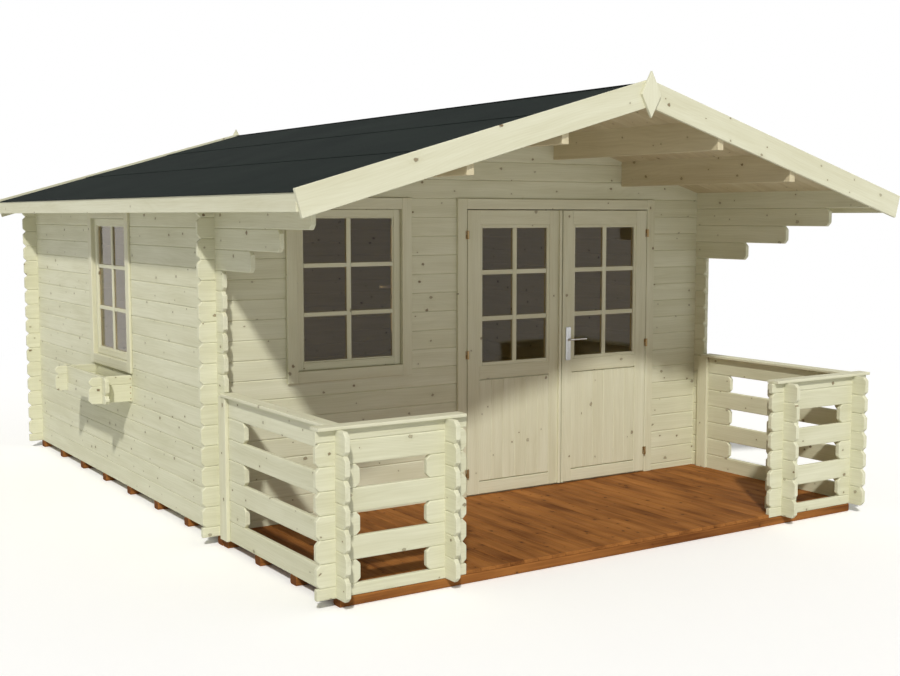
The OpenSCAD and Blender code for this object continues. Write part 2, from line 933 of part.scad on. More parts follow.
// the left half of the front railing with its inner post of crossed blocks
module front_railing() {
  difference() {
    intersection() {
      x_band(rail_y, -stub_x - past, past - gate_x, rail_top);
      union() {
        for (c = [0 : 2 : rail_courses])
          x_slab(rail_y - past, log_t + 2 * past, x_log(-stub_x, -gate_x, c));
        x_slab(rail_y - past, log_t + 2 * past, x_log(-stub_x, -gate_x, rail_courses));
        for (c = [1 : 2 : rail_courses - 1]) {
          x_slab(rail_y - past, log_t + 2 * past,
            x_log(-stub_x, log_t - half_w + block_in, c));
          x_slab(rail_y - past, log_t + 2 * past,
            x_log(-post_x - log_t - block_in, -gate_x, c));
        }
      }
    }
    y_log_halves(-half_w, rail_y, rail_courses - 1);
  }
  intersection() {
    y_band(-post_x - log_t, stub_y - past, rail_in_y + block_in + past, rail_top, rail_top);
    union()
      for (k = [0 : rail_courses - 1])
        y_slab(-post_x - log_t - past, log_t + 2 * past, y_log(stub_y, rail_in_y + block_in, k));
  }
}

module front_railing_left() {
  color(pale)
    front_railing();
}

module front_railing_right() {
  color(pale)
    mirror([1, 0, 0])
      front_railing();
}

module railing_caps() {
  color(trim_pale)
    both_sides() {
      block(-stub_x, -gate_x - cap_back, cap_y0, cap_y1, rail_top, rail_top + cap_t);
      block(-cap_x0 - cap_w, -cap_x0, cap_y1, -log_over, rail_top, rail_top + cap_t);
    }
}

module railing_battens() {
  color(trim_pale)
    both_sides() {
      block(-half_w - batten_t, -half_w, batten_y, batten_y + batten_w, 0, rail_top);
      block(log_t - half_w, log_t - half_w + batten_t, batten_y, batten_y + batten_w,
        floor_t, rail_top);
    }
}

foundation_beams();
terrace_beams();
house_floor();
terrace_floor();
front_wall_left();
front_wall_right();
front_gable();
rear_wall();
rear_gable();
left_wall();
right_wall();
roof_purlins();
roof_boards_left();
roof_boards_right();
roofing_felt();
eaves_fascias();
front_bargeboard_left();
front_bargeboard_right();
rear_bargeboard_left();
rear_bargeboard_right();
gable_finials();
door_frame();
left_door();
right_door();
left_door_glass();
right_door_glass();
frame_hinges();
left_door_hinges();
right_door_hinges();
door_handle_plate();
door_handle_lever();
front_window_trim();
front_window_sash();
front_window_glass();
side_window_trim();
side_window_sash();
side_window_glass();
flower_box();
side_railing_left();
side_railing_right();
front_railing_left();
front_railing_right();
railing_caps();
railing_battens();
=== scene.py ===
# %% [markdown]
# # A log cabin with a terrace
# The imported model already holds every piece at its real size. Here each log, board and bar
# gets rounded edges, its own run of grain and a wood, felt, glass or metal finish. Everything
# is in metres, +Z is up, the front faces -Y.

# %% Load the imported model
import math

import bmesh
import bpy
import numpy as np
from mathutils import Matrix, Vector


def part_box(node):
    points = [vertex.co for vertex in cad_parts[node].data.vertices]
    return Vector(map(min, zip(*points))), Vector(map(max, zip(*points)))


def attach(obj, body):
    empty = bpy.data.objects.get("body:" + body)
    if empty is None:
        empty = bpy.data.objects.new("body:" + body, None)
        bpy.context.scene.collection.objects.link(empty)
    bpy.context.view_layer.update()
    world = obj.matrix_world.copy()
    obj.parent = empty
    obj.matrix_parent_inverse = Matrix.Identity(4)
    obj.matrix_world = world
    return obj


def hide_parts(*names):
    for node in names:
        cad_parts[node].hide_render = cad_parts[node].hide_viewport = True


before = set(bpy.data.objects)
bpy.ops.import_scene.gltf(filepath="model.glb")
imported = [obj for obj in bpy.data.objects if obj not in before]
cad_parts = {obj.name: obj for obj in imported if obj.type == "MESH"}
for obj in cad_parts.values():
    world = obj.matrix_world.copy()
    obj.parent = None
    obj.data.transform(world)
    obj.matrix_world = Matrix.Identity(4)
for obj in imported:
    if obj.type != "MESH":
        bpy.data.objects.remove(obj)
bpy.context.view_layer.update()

# %% [markdown]
# A cabin kit is a stack of planed timbers: rectangular sections with eased edges, carried
# along a straight line. So one function can make them all. The section is a closed curve, the
# length is a row of stations, and the surface is the grid of both. Every point also gets three
# facts for the materials: its place in the timber's own grain, whether it is on an eased edge,
# and a random tone for the whole timber.

# %% Section of a timber
corner_steps = 2


def rounded_section(half_a, half_b, radius):
    """Closed curve round a rectangle with quarter-circle corners.
    Corner centres lie at (+-(half_a - r), +-(half_b - r)); each corner adds the points
    centre + r (cos t, sin t) over its quarter turn. Edge mask = sin(2t), so it is 0 where the
    curve meets the flats and 1 in the middle of the corner."""
    quarter = np.linspace(0, math.pi / 2, corner_steps + 1)
    turns = np.concatenate([quarter + math.pi / 2 * i for i in range(4)])
    signs = np.repeat([[1.0, 1.0], [-1.0, 1.0], [-1.0, -1.0], [1.0, -1.0]], corner_steps + 1,
                      axis=0)
    centres = signs * (np.array([half_a, half_b]) - radius)
    curve = centres + radius * np.stack([np.cos(turns), np.sin(turns)], 1)
    return curve, np.tile(np.sin(2 * quarter), 4)


def tube_faces(rings, n, backwards=False):
    """Faces of a tube of rings with n points each: a quad between neighbours i, j of rings
    s, s + 1, and a lid on both ends."""
    s, i = np.meshgrid(np.arange(rings - 1), np.arange(n), indexing="ij")
    j = (i + 1) % n
    quads = np.stack([s * n + i, s * n + j, (s + 1) * n + j, (s + 1) * n + i], -1)
    lids = [list(range(n))[::-1], list(range((rings - 1) * n, rings * n))]
    if backwards:
        quads, lids = quads[..., [0, 3, 2, 1]], [lid[::-1] for lid in lids]
    return quads.reshape(-1, 4).tolist() + lids


# %% One timber as arrays
dice = np.random.default_rng(11)
flat_board, grain_shift = 1.6, 40


def part_of(points, faces, grain, edge=0.0, tone=0.0):
    """The arrays of one closed shape: its points, faces and the three facts on each point."""
    return {"points": points, "faces": faces, "grain": grain,
            "edge": np.zeros(len(points)) + edge, "tone": np.full(len(points), tone)}


def timber(axis, low, high, radius=0.003, cuts=(0.0, 0.0), ease=0.0015):
    """A straight timber between two corners, running along axis 0, 1 or 2.
    Point (s, i) = station s along the axis + section point i. The ease draws the section in at
    the very ends; over a cut's length the top and the bottom come together, which makes the
    chamfered log end. Grain = (length, thickness, width) + a random shift, and is turned on a
    board that lies flat, wider than it is high by more than the ratio above."""
    low, high = np.array(low, float), np.array(high, float)
    across, up = ((1, 2), (2, 0), (0, 1))[axis]
    half = (high - low) / 2
    middle = (high + low) / 2
    radius = min(radius, 0.45 * half[across], 0.45 * half[up])
    curve, edge = rounded_section(half[across], half[up], radius)
    tall = 1 if up == 2 else 0
    a, b = cuts
    rows = [(low[axis], ease, a), (low[axis] + ease, 0, max(a - ease, 0))]
    rows += [(low[axis] + a, 0, 0)] if a > ease else []
    rows += [(high[axis] - b, 0, 0)] if b > ease else []
    rows += [(high[axis] - ease, 0, max(b - ease, 0)), (high[axis], ease, b)]
    along, inset, cut = np.array(rows).T
    shape = np.repeat(curve[None], len(rows), 0)
    shrink = 1 - inset[:, None, None] / np.array([half[across], half[up]])
    shape = shape * shrink
    shape[:, :, tall] -= np.sign(curve[None, :, tall]) * cut[:, None]
    points = np.empty((len(rows), len(curve), 3))
    points[:, :, axis] = along[:, None]
    points[:, :, across] = middle[across] + shape[:, :, 0]
    points[:, :, up] = middle[up] + shape[:, :, 1]
    points = points.reshape(-1, 3)
    other = across if up == 2 else up
    height = up if up == 2 else across
    thin, wide = (height, other) if half[other] > flat_board * half[height] else (other, height)
    grain = np.stack([points[:, axis] - low[axis], points[:, thin] - middle[thin],
                      points[:, wide] - middle[wide]], 1)
    return part_of(points, tube_faces(len(rows), len(curve)),
                   grain + dice.uniform(0, grain_shift, 3), np.tile(edge, len(rows)),
                   dice.uniform())


# %% [markdown]
# Some timbers slant or stand on the other side of the house. Both are maps of the finished
# arrays: a turn, a shift, or a mirror. A mirror turns the faces inside out, so their corners
# are listed backwards.

# %% Maps of a timber
def moved(part, matrix, shift=(0, 0, 0)):
    """Every point p becomes matrix p + shift."""
    return {**part, "points": part["points"] @ np.array(matrix).T + np.array(shift)}


def mirrored(part):
    """x becomes -x, and each face is listed the other way round."""
    return {**part, "points": part["points"] * np.array([-1, 1, 1]),
            "faces": [face[::-1] for face in part["faces"]]}


def flipped(parts):
    """The same parts on the other side of the house."""
    return [mirrored(part) for part in parts]


def turned(part, degrees, shift=(0, 0, 0)):
    """A turn about the vertical, then a shift."""
    c, s = math.cos(math.radians(degrees)), math.sin(math.radians(degrees))
    return moved(part, [[c, -s, 0], [s, c, 0], [0, 0, 1]], shift)


# %% Many timbers become one piece
def fact(mesh, name, kind, values):
    """Stores one value or one vector for every point of the mesh."""
    store = mesh.attributes.new(name, kind, "POINT")
    store.data.foreach_set("vector" if kind == "FLOAT_VECTOR" else "value",
                           np.ascontiguousarray(values, dtype=np.float32).ravel())


def piece(name, parts, material, stands_for=(), body="cabin"):
    """Joins the parts into one mesh, rides it on its body and hides the model nodes it replaces."""
    starts = np.cumsum([0] + [len(part["points"]) for part in parts])
    faces = [[corner + int(start) for corner in face]
             for part, start in zip(parts, starts) for face in part["faces"]]
    mesh = bpy.data.meshes.new(name)
    mesh.from_pydata(np.concatenate([part["points"] for part in parts]), [], faces)
    for label, kind in (("grain", "FLOAT_VECTOR"), ("edge", "FLOAT"), ("tone", "FLOAT")):
        fact(mesh, label, kind, np.concatenate([part[label] for part in parts]))
    mesh.materials.append(material)
    thing = bpy.data.objects.new(name, mesh)
    bpy.context.scene.collection.objects.link(thing)
    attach(thing, body)
    if stands_for:
        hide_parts(*stands_for)
    print(f"{name}: {len(parts)} timbers, {len(faces)} faces")
    return thing


def sawn(thing, point, normal):
    """Saws a piece along a plane, drops the side the normal points to and closes the cut."""
    bm = bmesh.new()
    bm.from_mesh(thing.data)
    everything = bm.verts[:] + bm.edges[:] + bm.faces[:]
    result = bmesh.ops.bisect_plane(bm, geom=everything, plane_co=point, plane_no=normal,
                                    dist=1e-6, clear_outer=True)
    rim = [e for e in result["geom_cut"] if isinstance(e, bmesh.types.BMEdge) and e.is_boundary]
    bmesh.ops.holes_fill(bm, edges=rim, sides=0)
    bm.to_mesh(thing.data)
    bm.free()
    return thing


# %% [markdown]
# The wood is planed, unpainted spruce, with long darker streaks of summer growth, wide soft
# bands where the saw ran along a ring, and small brown knots. The pale logs and the brown
# decking differ only in colour and strength, so one node group holds the recipe. It reads the
# grain fact, so every timber has its own pattern along its own length.

# %% Helpers for node trees
def fill(tree, socket, value):
    """Links a socket into another one, or sets its value."""
    if isinstance(value, bpy.types.NodeSocket):
        tree.links.new(value, socket)
    else:
        socket.default_value = value


def add(tree, kind, inputs=None, **settings):
    """Adds a node, sets its options, then fills its inputs by name or number."""
    made = tree.nodes.new(kind)
    for key, value in settings.items():
        setattr(made, key, value)
    for key, value in (inputs or {}).items():
        fill(tree, made.inputs[key], value)
    return made


def maths(tree, kind, a, b=0.0, clamp=False):
    """One arithmetic step; gives its output socket."""
    return add(tree, "ShaderNodeMath", {0: a, 1: b}, operation=kind, use_clamp=clamp).outputs[0]


def times(tree, a, b, clamp=False):
    """The product a b."""
    return maths(tree, "MULTIPLY", a, b, clamp)


def plus(tree, base, value, factor):
    """base + value factor"""
    return maths(tree, "ADD", base, times(tree, value, factor))


def noise(tree, vector, scale, detail, **more):
    """Noise over a vector; gives its grey socket."""
    return add(tree, "ShaderNodeTexNoise",
               {"Vector": vector, "Scale": scale, "Detail": detail, **more}).outputs["Fac"]


def blend_colour(tree, amount, a, b):
    """Mixes two colours; gives the colour socket."""
    made = add(tree, "ShaderNodeMix", data_type="RGBA")
    for number, value in ((0, amount), (6, a), (7, b)):
        fill(tree, made.inputs[number], value)
    return made.outputs[2]


def ramp(tree, value, stops):
    """A colour ramp with the given (place, grey) stops; gives its colour socket."""
    made = add(tree, "ShaderNodeValToRGB", {"Fac": value})
    band = made.color_ramp
    while len(band.elements) < len(stops):
        band.elements.new(0.5)
    for element, (place, grey) in zip(band.elements, stops):
        element.position = place
        element.color = (grey, grey, grey, 1)
    return made.outputs["Color"]


def blank(name):
    """A material with an empty tree; gives both."""
    material = bpy.data.materials.new(name)
    material.use_nodes = True
    material.node_tree.nodes.clear()
    return material, material.node_tree


def surface(tree, inputs, height=None, strength=0.0, depth=0.0):
    """Ends a tree with a shader, dented by the height where there is one."""
    shader = add(tree, "ShaderNodeBsdfPrincipled", inputs)
    if height is not None:
        dents = add(tree, "ShaderNodeBump",
                    {"Height": height, "Strength": strength, "Distance": depth})
        tree.links.new(dents.outputs["Normal"], shader.inputs["Normal"])
    add(tree, "ShaderNodeOutputMaterial", {"Surface": shader.outputs["BSDF"]})


# %% The wood recipe as a group
def scaled(tree, vector, factors):
    """The vector times one factor for each direction."""
    return add(tree, "ShaderNodeVectorMath", {0: vector, 1: factors},
               operation="MULTIPLY").outputs[0]


wood = bpy.data.node_groups.new("planed wood", "ShaderNodeTree")
for label, kind in (("Grain", "Vector"), ("Figure", "Vector"), ("Knots", "Float")):
    wood.interface.new_socket(label, in_out="INPUT", socket_type="NodeSocket" + kind)
for label in ("Streaks", "Bands", "Flames", "Knot", "Rim", "Halo", "Cloud", "Relief"):
    wood.interface.new_socket(label, in_out="OUTPUT", socket_type="NodeSocketFloat")
start, end = wood.nodes.new("NodeGroupInput"), wood.nodes.new("NodeGroupOutput")
grain, figure, knots_wanted = (start.outputs[label] for label in ("Grain", "Figure", "Knots"))

# %% Knots: one possible place in each cell of a stretched grid
cells = (3.6, 0.6, 8.4)
smallest_knot, knot_range = 0.0034, 0.0072
stretched = scaled(wood, grain, cells)
field = add(wood, "ShaderNodeTexVoronoi", {"Vector": stretched, "Scale": 1.0, "Randomness": 0.9})
away = add(wood, "ShaderNodeVectorMath", {0: stretched, 1: field.outputs["Position"]},
           operation="SUBTRACT").outputs[0]
flat_away = scaled(wood, away, (0.8 / cells[0], 0.0, 1 / cells[2]))
reach = add(wood, "ShaderNodeVectorMath", {0: flat_away}, operation="LENGTH").outputs["Value"]
chance = add(wood, "ShaderNodeSeparateColor", {"Color": field.outputs["Color"]}).outputs
knot_here = maths(wood, "LESS_THAN", chance[0], knots_wanted)
knot_size = maths(wood, "ADD", times(wood, maths(wood, "POWER", chance[1], 2.0), knot_range),
                  smallest_knot)
ragged = noise(wood, scaled(wood, grain, (90.0, 90.0, 90.0)), 1.0, 2.0)
uneven = maths(wood, "ADD", times(wood, ragged, 1.3), 0.35)
share = times(wood, maths(wood, "DIVIDE", reach, knot_size), uneven)


def falloff(distance, steep):
    """1 at distance 0, falling in a straight line to 0 at distance 1 / steep, where a knot is."""
    line = maths(wood, "SUBTRACT", 1.0, times(wood, distance, steep), clamp=True)
    return times(wood, line, knot_here)


strength = maths(wood, "ADD", times(wood, chance[2], 0.6), 0.4)
knot = times(wood, times(wood, falloff(share, 1.0), 3.0, clamp=True), strength)
rim = falloff(maths(wood, "ABSOLUTE", maths(wood, "SUBTRACT", share, 0.9)), 3.2)
halo = falloff(share, 0.24)

# %% Streaks, bands and flames that bend round the knots
wander = noise(wood, scaled(wood, grain, (0.9, 5.0, 5.0)), 1.0, 2.0)
fine = noise(wood, scaled(wood, figure, (3.0, 160.0, 160.0)), 1.0, 4.0, Roughness=0.6)
broad = noise(wood, scaled(wood, figure, (1.1, 26.0, 26.0)), 1.0, 3.0, Roughness=0.55,
              Distortion=0.25)
cloud = noise(wood, scaled(wood, figure, (2.2, 5.0, 9.0)), 1.0, 4.0)
wide_way = add(wood, "ShaderNodeSeparateXYZ", {0: grain}).outputs["Z"]
rings = plus(wood, plus(wood, times(wood, wide_way, 58.0), wander, 13.0), halo, 1.6)
wave = maths(wood, "SINE", times(wood, rings, 2 * math.pi))
bands = maths(wood, "POWER", maths(wood, "ADD", times(wood, wave, 0.5), 0.5), 2.2)
relief = plus(wood, times(wood, fine, 0.6), bands, 0.25)
made = {"Streaks": ramp(wood, fine, [(0.36, 0.0), (0.68, 1.0)]), "Bands": bands,
        "Flames": ramp(wood, broad, [(0.38, 0.0), (0.62, 1.0)]), "Knot": knot, "Rim": rim,
        "Halo": halo, "Cloud": ramp(wood, cloud, [(0.34, 0.0), (0.68, 1.0)]),
        "Relief": maths(wood, "SUBTRACT", relief, times(wood, rim, 0.4))}
for label, socket in made.items():
    wood.links.new(socket, end.inputs[label])
print("wood group has", len(wood.nodes), "nodes")


# %% [markdown]
# A wood material mixes the group's colours step by step, and adds a tone for each timber and
# edges that are a little paler where the plane broke the corner.

# %% Wood material
def wood_finish(name, light, dark, knot_colour, knots=0.7, shares=(0.16, 0.10, 0.20, 0.24, 0.20),
                rough=0.62, bump=0.25, gloss=0.25, width=1.0, dark_ends=0.0):
    """The shares say how much of the darker colour the streaks, the bands, the flames, the
    clouds and each timber's own tone bring in. A width above 1 makes the figure wider across
    the grain. Dark ends is how much darker the sawn ends of timbers along X are."""
    material, tree = blank(name)
    grain, tone, edge = (add(tree, "ShaderNodeAttribute", attribute_name=label)
                         for label in ("grain", "tone", "edge"))
    wider = scaled(tree, grain.outputs["Vector"], (1.0, 1.0 / width, 1.0 / width))
    recipe = add(tree, "ShaderNodeGroup", node_tree=wood)
    for label, value in (("Grain", grain.outputs["Vector"]), ("Figure", wider),
                         ("Knots", knots)):
        fill(tree, recipe.inputs[label], value)
    recipe = recipe.outputs
    sources = [recipe[label] for label in ("Streaks", "Bands", "Flames", "Cloud")]
    mix = times(tree, recipe["Halo"], 0.22)
    for source, share_of in zip(sources + [tone.outputs["Fac"]], shares):
        mix = plus(tree, mix, source, share_of)
    colour = blend_colour(tree, maths(tree, "MINIMUM", mix, 1.0), light, dark)
    paler = [min(1.0, c * 1.06) for c in light[:3]] + [1]
    colour = blend_colour(tree, times(tree, edge.outputs["Fac"], 0.35), colour, paler)
    colour = blend_colour(tree, recipe["Knot"], colour, knot_colour)
    if dark_ends:
        facing = add(tree, "ShaderNodeSeparateXYZ",
                     {0: add(tree, "ShaderNodeTexCoord").outputs["Normal"]})
        sawn_end = maths(tree, "GREATER_THAN", maths(tree, "ABSOLUTE", facing.outputs["X"]), 0.8)
        colour = blend_colour(tree, times(tree, sawn_end, dark_ends), colour, dark)
    rim_colour = [c * 0.45 for c in knot_colour[:3]] + [1]
    colour = blend_colour(tree, times(tree, recipe["Rim"], 0.55), colour, rim_colour)
    surface(tree, {"Base Color": colour, "Roughness": plus(tree, rough, recipe["Streaks"], 0.12),
                   "Specular IOR Level": gloss}, recipe["Relief"], bump, 0.0012)
    return material


# %% The woods of the cabin
knot_brown = (0.20, 0.135, 0.065, 1)
log_wood = wood_finish("spruce logs", (0.755, 0.75, 0.575, 1), (0.555, 0.54, 0.355, 1), knot_brown)
board_wood = wood_finish("spruce boards", (0.765, 0.76, 0.59, 1), (0.585, 0.56, 0.375, 1),
                         knot_brown, knots=0.45)
joinery_wood = wood_finish("joinery spruce", (0.75, 0.74, 0.565, 1), (0.57, 0.545, 0.36, 1),
                           knot_brown, knots=0.35, rough=0.56)
roof_wood = wood_finish("roof spruce", (0.69, 0.62, 0.425, 1), (0.48, 0.40, 0.23, 1), knot_brown)
browns = [(0.42, 0.170, 0.042, 1), (0.130, 0.042, 0.009, 1), (0.05, 0.018, 0.008, 1)]
treated = {"shares": (0.14, 0.05, 0.42, 0.42, 0.10), "rough": 0.68, "bump": 0.45, "gloss": 0.12}
deck_wood = wood_finish("impregnated deck wood", *browns, knots=0.9, width=2.6, **treated)
beam_wood = wood_finish("impregnated beam wood", *browns, knots=1.0, width=1.6, dark_ends=0.85,
                        **treated)

# %% [markdown]
# Logs along Y fill whole courses. Logs along X start with half a log, so the two directions
# lock into each other at the corners. Every log runs past the corner and ends in a chamfer.
# At a window or a door it is sawn off, and what is left over or under the hole stays.

# %% Measures of the log work
def ends(node):
    """(x0, y0, z0, x1, y1, z1) of a node's box."""
    low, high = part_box(node)
    return (*low, *high)


log_h = 0.12
log_edge = 0.0062
log_cut = 0.022
courses = 16
wall_x0, front_tip, base_z, wall_x1, rear_tip, _ = ends("left_wall")
stub_x = ends("rear_wall")[3]
house_l = ends("rear_wall")[4]
half_w = -wall_x0
log_t = wall_x1 - wall_x0
stub = stub_x - half_w
turn, eave_rise = math.radians(16), 0.107
slope = math.tan(turn)
eave_z = base_z + courses * log_h + eave_rise
ridge_z = eave_z + slope * half_w
print(f"log thickness {log_t:.3f}, stub {stub:.3f}, ridge {ridge_z:.3f}")


def sawn_to_slopes(thing, z, sides=(-1, 1), out=0.0):
    """Saws along the roof's planes through (side out, 0, z)."""
    for side in sides:
        sawn(thing, (side * out, 0, z), (side * math.sin(turn), 0, math.cos(turn)))


# %% Logs with holes
def logs_along(axis, face, runs, holes=()):
    """runs are (start, end, low z, high z, cut at start, cut at end); holes are
    (start, end, low z, high z). A run that a hole crosses is split into what stands before,
    after, under and over it."""
    made = []
    for run in runs:
        rest = [run]
        for h0, h1, hz0, hz1 in holes:
            left = []
            for a, b, z0, z1, cut_a, cut_b in rest:
                if b <= h0 or a >= h1 or z1 <= hz0 or z0 >= hz1:
                    left.append((a, b, z0, z1, cut_a, cut_b))
                    continue
                left += [(a, h0, z0, z1, cut_a, 0)] if a < h0 else []
                left += [(h1, b, z0, z1, 0, cut_b)] if b > h1 else []
                p, q = max(a, h0), min(b, h1)
                left += [(p, q, z0, hz0, 0, 0)] if hz0 - z0 > 0.004 else []
                left += [(p, q, hz1, z1, 0, 0)] if z1 - hz1 > 0.004 else []
            rest = left
        for a, b, z0, z1, cut_a, cut_b in rest:
            low = (face, a, z0) if axis == 1 else (a, face, z0)
            high = (face + log_t, b, z1) if axis == 1 else (b, face + log_t, z1)
            made.append(timber(axis, low, high, log_edge, (cut_a, cut_b)))
    return made


trim_cover = 0.05


def window_hole(node, side):
    """The hole a window's lining fills: its trim's box less what the trim covers."""
    x0, y0, z0, x1, y1, z1 = ends(node)
    a, b = (y0, y1) if side else (x0, x1)
    return (a + trim_cover, b - trim_cover, z0 + trim_cover, z1 - trim_cover)


# %% [markdown]
# The side walls' upper logs step out over the terrace and carry the roof there. The topmost
# log is sawn to the roof's slope, along a plane through the eaves line.

# %% Side walls
corbel_first, corbel_step, corbels = 0.495, 0.363, 3


def front_end(k):
    """Front end of course k: a short stub, a step, or the bargeboard's back."""
    if k == courses:
        return front_tip
    if k < courses - corbels:
        return -stub
    return -corbel_first - (k - courses + corbels) * corbel_step


side_runs = [(front_end(k), rear_tip, base_z + k * log_h, base_z + (k + 1) * log_h,
              0 if k == courses else log_cut, log_cut) for k in range(courses + 1)]
side_hole = window_hole("side_window_trim", True)
left_logs = logs_along(1, wall_x0, side_runs, [side_hole])
right_logs = flipped(logs_along(1, wall_x0, side_runs))
for label, logs, side in (("left", left_logs, -1), ("right", right_logs, 1)):
    wall = piece(f"{label}_wall_logs", logs, log_wood, [f"{label}_wall"])
    sawn_to_slopes(wall, eave_z, [side], half_w)

# %% End walls: the same courses, half a log lower
door_x0, _, _, door_x1, _, door_top = ends("door_frame")
door_cover, head_cover = 0.041, 0.038
door_hole = (door_x0 + door_cover, door_x1 - door_cover, base_z, door_top - head_cover)
top_z = base_z + (courses + 0.5) * log_h


def end_runs(x0, x1, cut0, cut1):
    """Runs of the end wall's logs between two ends, from the half log at the foot up."""
    runs = [(x0, x1, base_z, base_z + log_h / 2, 0, 0)]
    return runs + [(x0, x1, base_z + (c - 0.5) * log_h, base_z + (c + 0.5) * log_h, cut0, cut1)
                   for c in range(1, courses + 1)]


front_hole = window_hole("front_window_trim", False)
for label, face, run, holes in (
        ("front_wall_left", 0.0, (-stub_x, door_hole[0], log_cut, 0), [front_hole]),
        ("front_wall_right", 0.0, (door_hole[1], stub_x, 0, log_cut), []),
        ("rear_wall", house_l - log_t, (-stub_x, stub_x, log_cut, log_cut), [])):
    piece(f"{label}_logs", logs_along(0, face, end_runs(*run), holes), log_wood, [label])

# %% Gables: full courses, sawn to both slopes, with a strip over the door
gable_runs = [(-half_w, half_w, z, z + log_h, 0, 0) for z in np.arange(top_z, ridge_z, log_h)]
over_door = [(door_hole[0], door_hole[1], door_hole[3], top_z, 0, 0)]
for label, face, strip in (("front", 0.0, over_door), ("rear", house_l - log_t, [])):
    gable = piece(f"{label}_gable_logs", logs_along(0, face, gable_runs + strip), log_wood,
                  [f"{label}_gable"])
    sawn_to_slopes(gable, ridge_z)

# %% [markdown]
# The railings follow the wall's rule: whole logs every second course, and short blocks between
# them at the corners, so that light falls through the gaps.

# %% Railings
rail_courses = 7
rail_x0, rail_y0, _, rail_x1, rail_y1, _ = ends("side_railing_left")
front_x0, _, _, gate_x, block_y1, _ = ends("front_railing_left")
terrace_y = rail_y0 + stub
block_in = block_y1 - (terrace_y + log_t)
house_block = 0.267
post_x = -1.265


def y_run(a, b, k, cut_a=log_cut, cut_b=log_cut):
    """A run in whole course k."""
    return (a, b, base_z + k * log_h, base_z + (k + 1) * log_h, cut_a, cut_b)


def x_run(a, b, c, cut_a=log_cut, cut_b=log_cut):
    """A run in course c of the half-log-lower direction, held between foot and top."""
    z0, z1 = max(c - 0.5, 0) * log_h, min(c + 0.5, rail_courses) * log_h
    half = z1 - z0 < 0.9 * log_h
    return (a, b, base_z + z0, base_z + z1, 0 if half else cut_a, 0 if half else cut_b)


side_rail = [y_run(rail_y0, rail_y1, k, log_cut, 0) for k in range(0, rail_courses, 2)]
side_rail += [y_run(rail_y0, block_y1, k) for k in range(1, rail_courses, 2)]
side_rail += [y_run(rail_y1 - house_block, rail_y1, k, log_cut, 0)
              for k in range(1, rail_courses, 2)]
front_rail = [x_run(front_x0, gate_x, c) for c in (0, 2, 4, 6, 7)]
front_rail += [x_run(front_x0, rail_x1 + block_in, c) for c in (1, 3, 5)]
front_rail += [x_run(post_x - block_in, gate_x, c) for c in (1, 3, 5)]
post_rail = [y_run(rail_y0, block_y1, k) for k in range(rail_courses)]

# %% Both sides of the terrace
for label in ("left", "right"):
    side = logs_along(1, rail_x0, side_rail)
    front = logs_along(0, terrace_y, front_rail) + logs_along(1, post_x, post_rail)
    if label == "right":
        side, front = flipped(side), flipped(front)
    piece(f"side_railing_{label}_logs", side, log_wood, [f"side_railing_{label}"])
    piece(f"front_railing_{label}_logs", front, log_wood, [f"front_railing_{label}"])

# %% [markdown]
# Capping boards and battens are plain boards, placed by the model's boxes. The caps of one
# side are a long board and a short one.

# %% Caps and battens
cap_x0, cap_y0, cap_z0, _, cap_y1, cap_z1 = ends("railing_caps")
cap_w, cap_back = 0.09, 0.018
caps = [timber(0, (cap_x0, cap_y0, cap_z0), (gate_x - cap_back, cap_y0 + cap_w, cap_z1), 0.004)]
cap_middle = -half_w + log_t / 2
caps.append(timber(1, (cap_middle - cap_w / 2, cap_y0 + cap_w, cap_z0),
                   (cap_middle + cap_w / 2, cap_y1, cap_z1), 0.004))
bat_x0, bat_y0, bat_z0, _, bat_y1, bat_z1 = ends("railing_battens")
floor_top = ends("terrace_floor")[5]
battens = [timber(2, (bat_x0, bat_y0, bat_z0), (-half_w, bat_y1, bat_z1), 0.003),
           timber(2, (-half_w + log_t, bat_y0, floor_top),
                  (-half_w + log_t - half_w - bat_x0, bat_y1, bat_z1), 0.003)]
piece("railing_cap_boards", caps + flipped(caps), board_wood, ["railing_caps"])
piece("railing_batten_boards", battens + flipped(battens), board_wood, ["railing_battens"])

# %% [markdown]
# Brown beams with rounded edges carry the decking of the terrace and the pale floor of the
# house. The boards lie close together, so only fine joints show.

# %% Beams and floors
beam_w, joint = 0.074, 0.0006


def beams(name, node, count, shorter=0.0):
    """Evenly spread beams over the node's box, each with rounded edges. The front one may be
    shorter than the others at both ends."""
    x0, y0, z0, x1, y1, z1 = ends(node)
    less = [shorter] + [0.0] * (count - 1)
    made = [timber(0, (x0 + cut, y, z0), (x1 - cut, y + beam_w, z1), 0.010)
            for y, cut in zip(np.linspace(y0, y1 - beam_w, count), less)]
    piece(name, made, beam_wood, [node])


def planks(x0, x1, y0, y1, z0, z1, width):
    """Boards along Y side by side, all of one width near the wanted one."""
    count = max(1, round((x1 - x0) / width))
    lines = np.linspace(x0, x1, count + 1)
    return [timber(1, (a + joint, y0, z0), (b - joint, y1, z1), 0.0025)
            for a, b in zip(lines, lines[1:])]


beams("house_beams", "foundation_beams", 8)
beams("terrace_floor_beams", "terrace_beams", 4, 0.020)

# %% Decking: long boards between the railings, shorter ones behind them
x0, y0, z0, x1, y1, z1 = ends("terrace_floor")
plank_w = 0.096
outer = (x0, gate_x, y0 + log_t, y1, z0, z1, plank_w)
decking = planks(gate_x, -gate_x, y0, y1, z0, z1, plank_w) + planks(*outer)
piece("terrace_decking", decking + flipped(planks(*outer)), deck_wood, ["terrace_floor"])
x0, y0, z0, x1, y1, z1 = ends("house_floor")
indoor = planks(x0, x1, y0, y1, z0, z1, width=0.1)
piece("house_floor_boards", indoor, roof_wood, ["house_floor"])

# %% [markdown]
# The roof is built flat and then tipped by its angle with one matrix. In the flat frame the
# first number is the distance down the slope from the ridge, and the third is the height above
# the boards' underside.

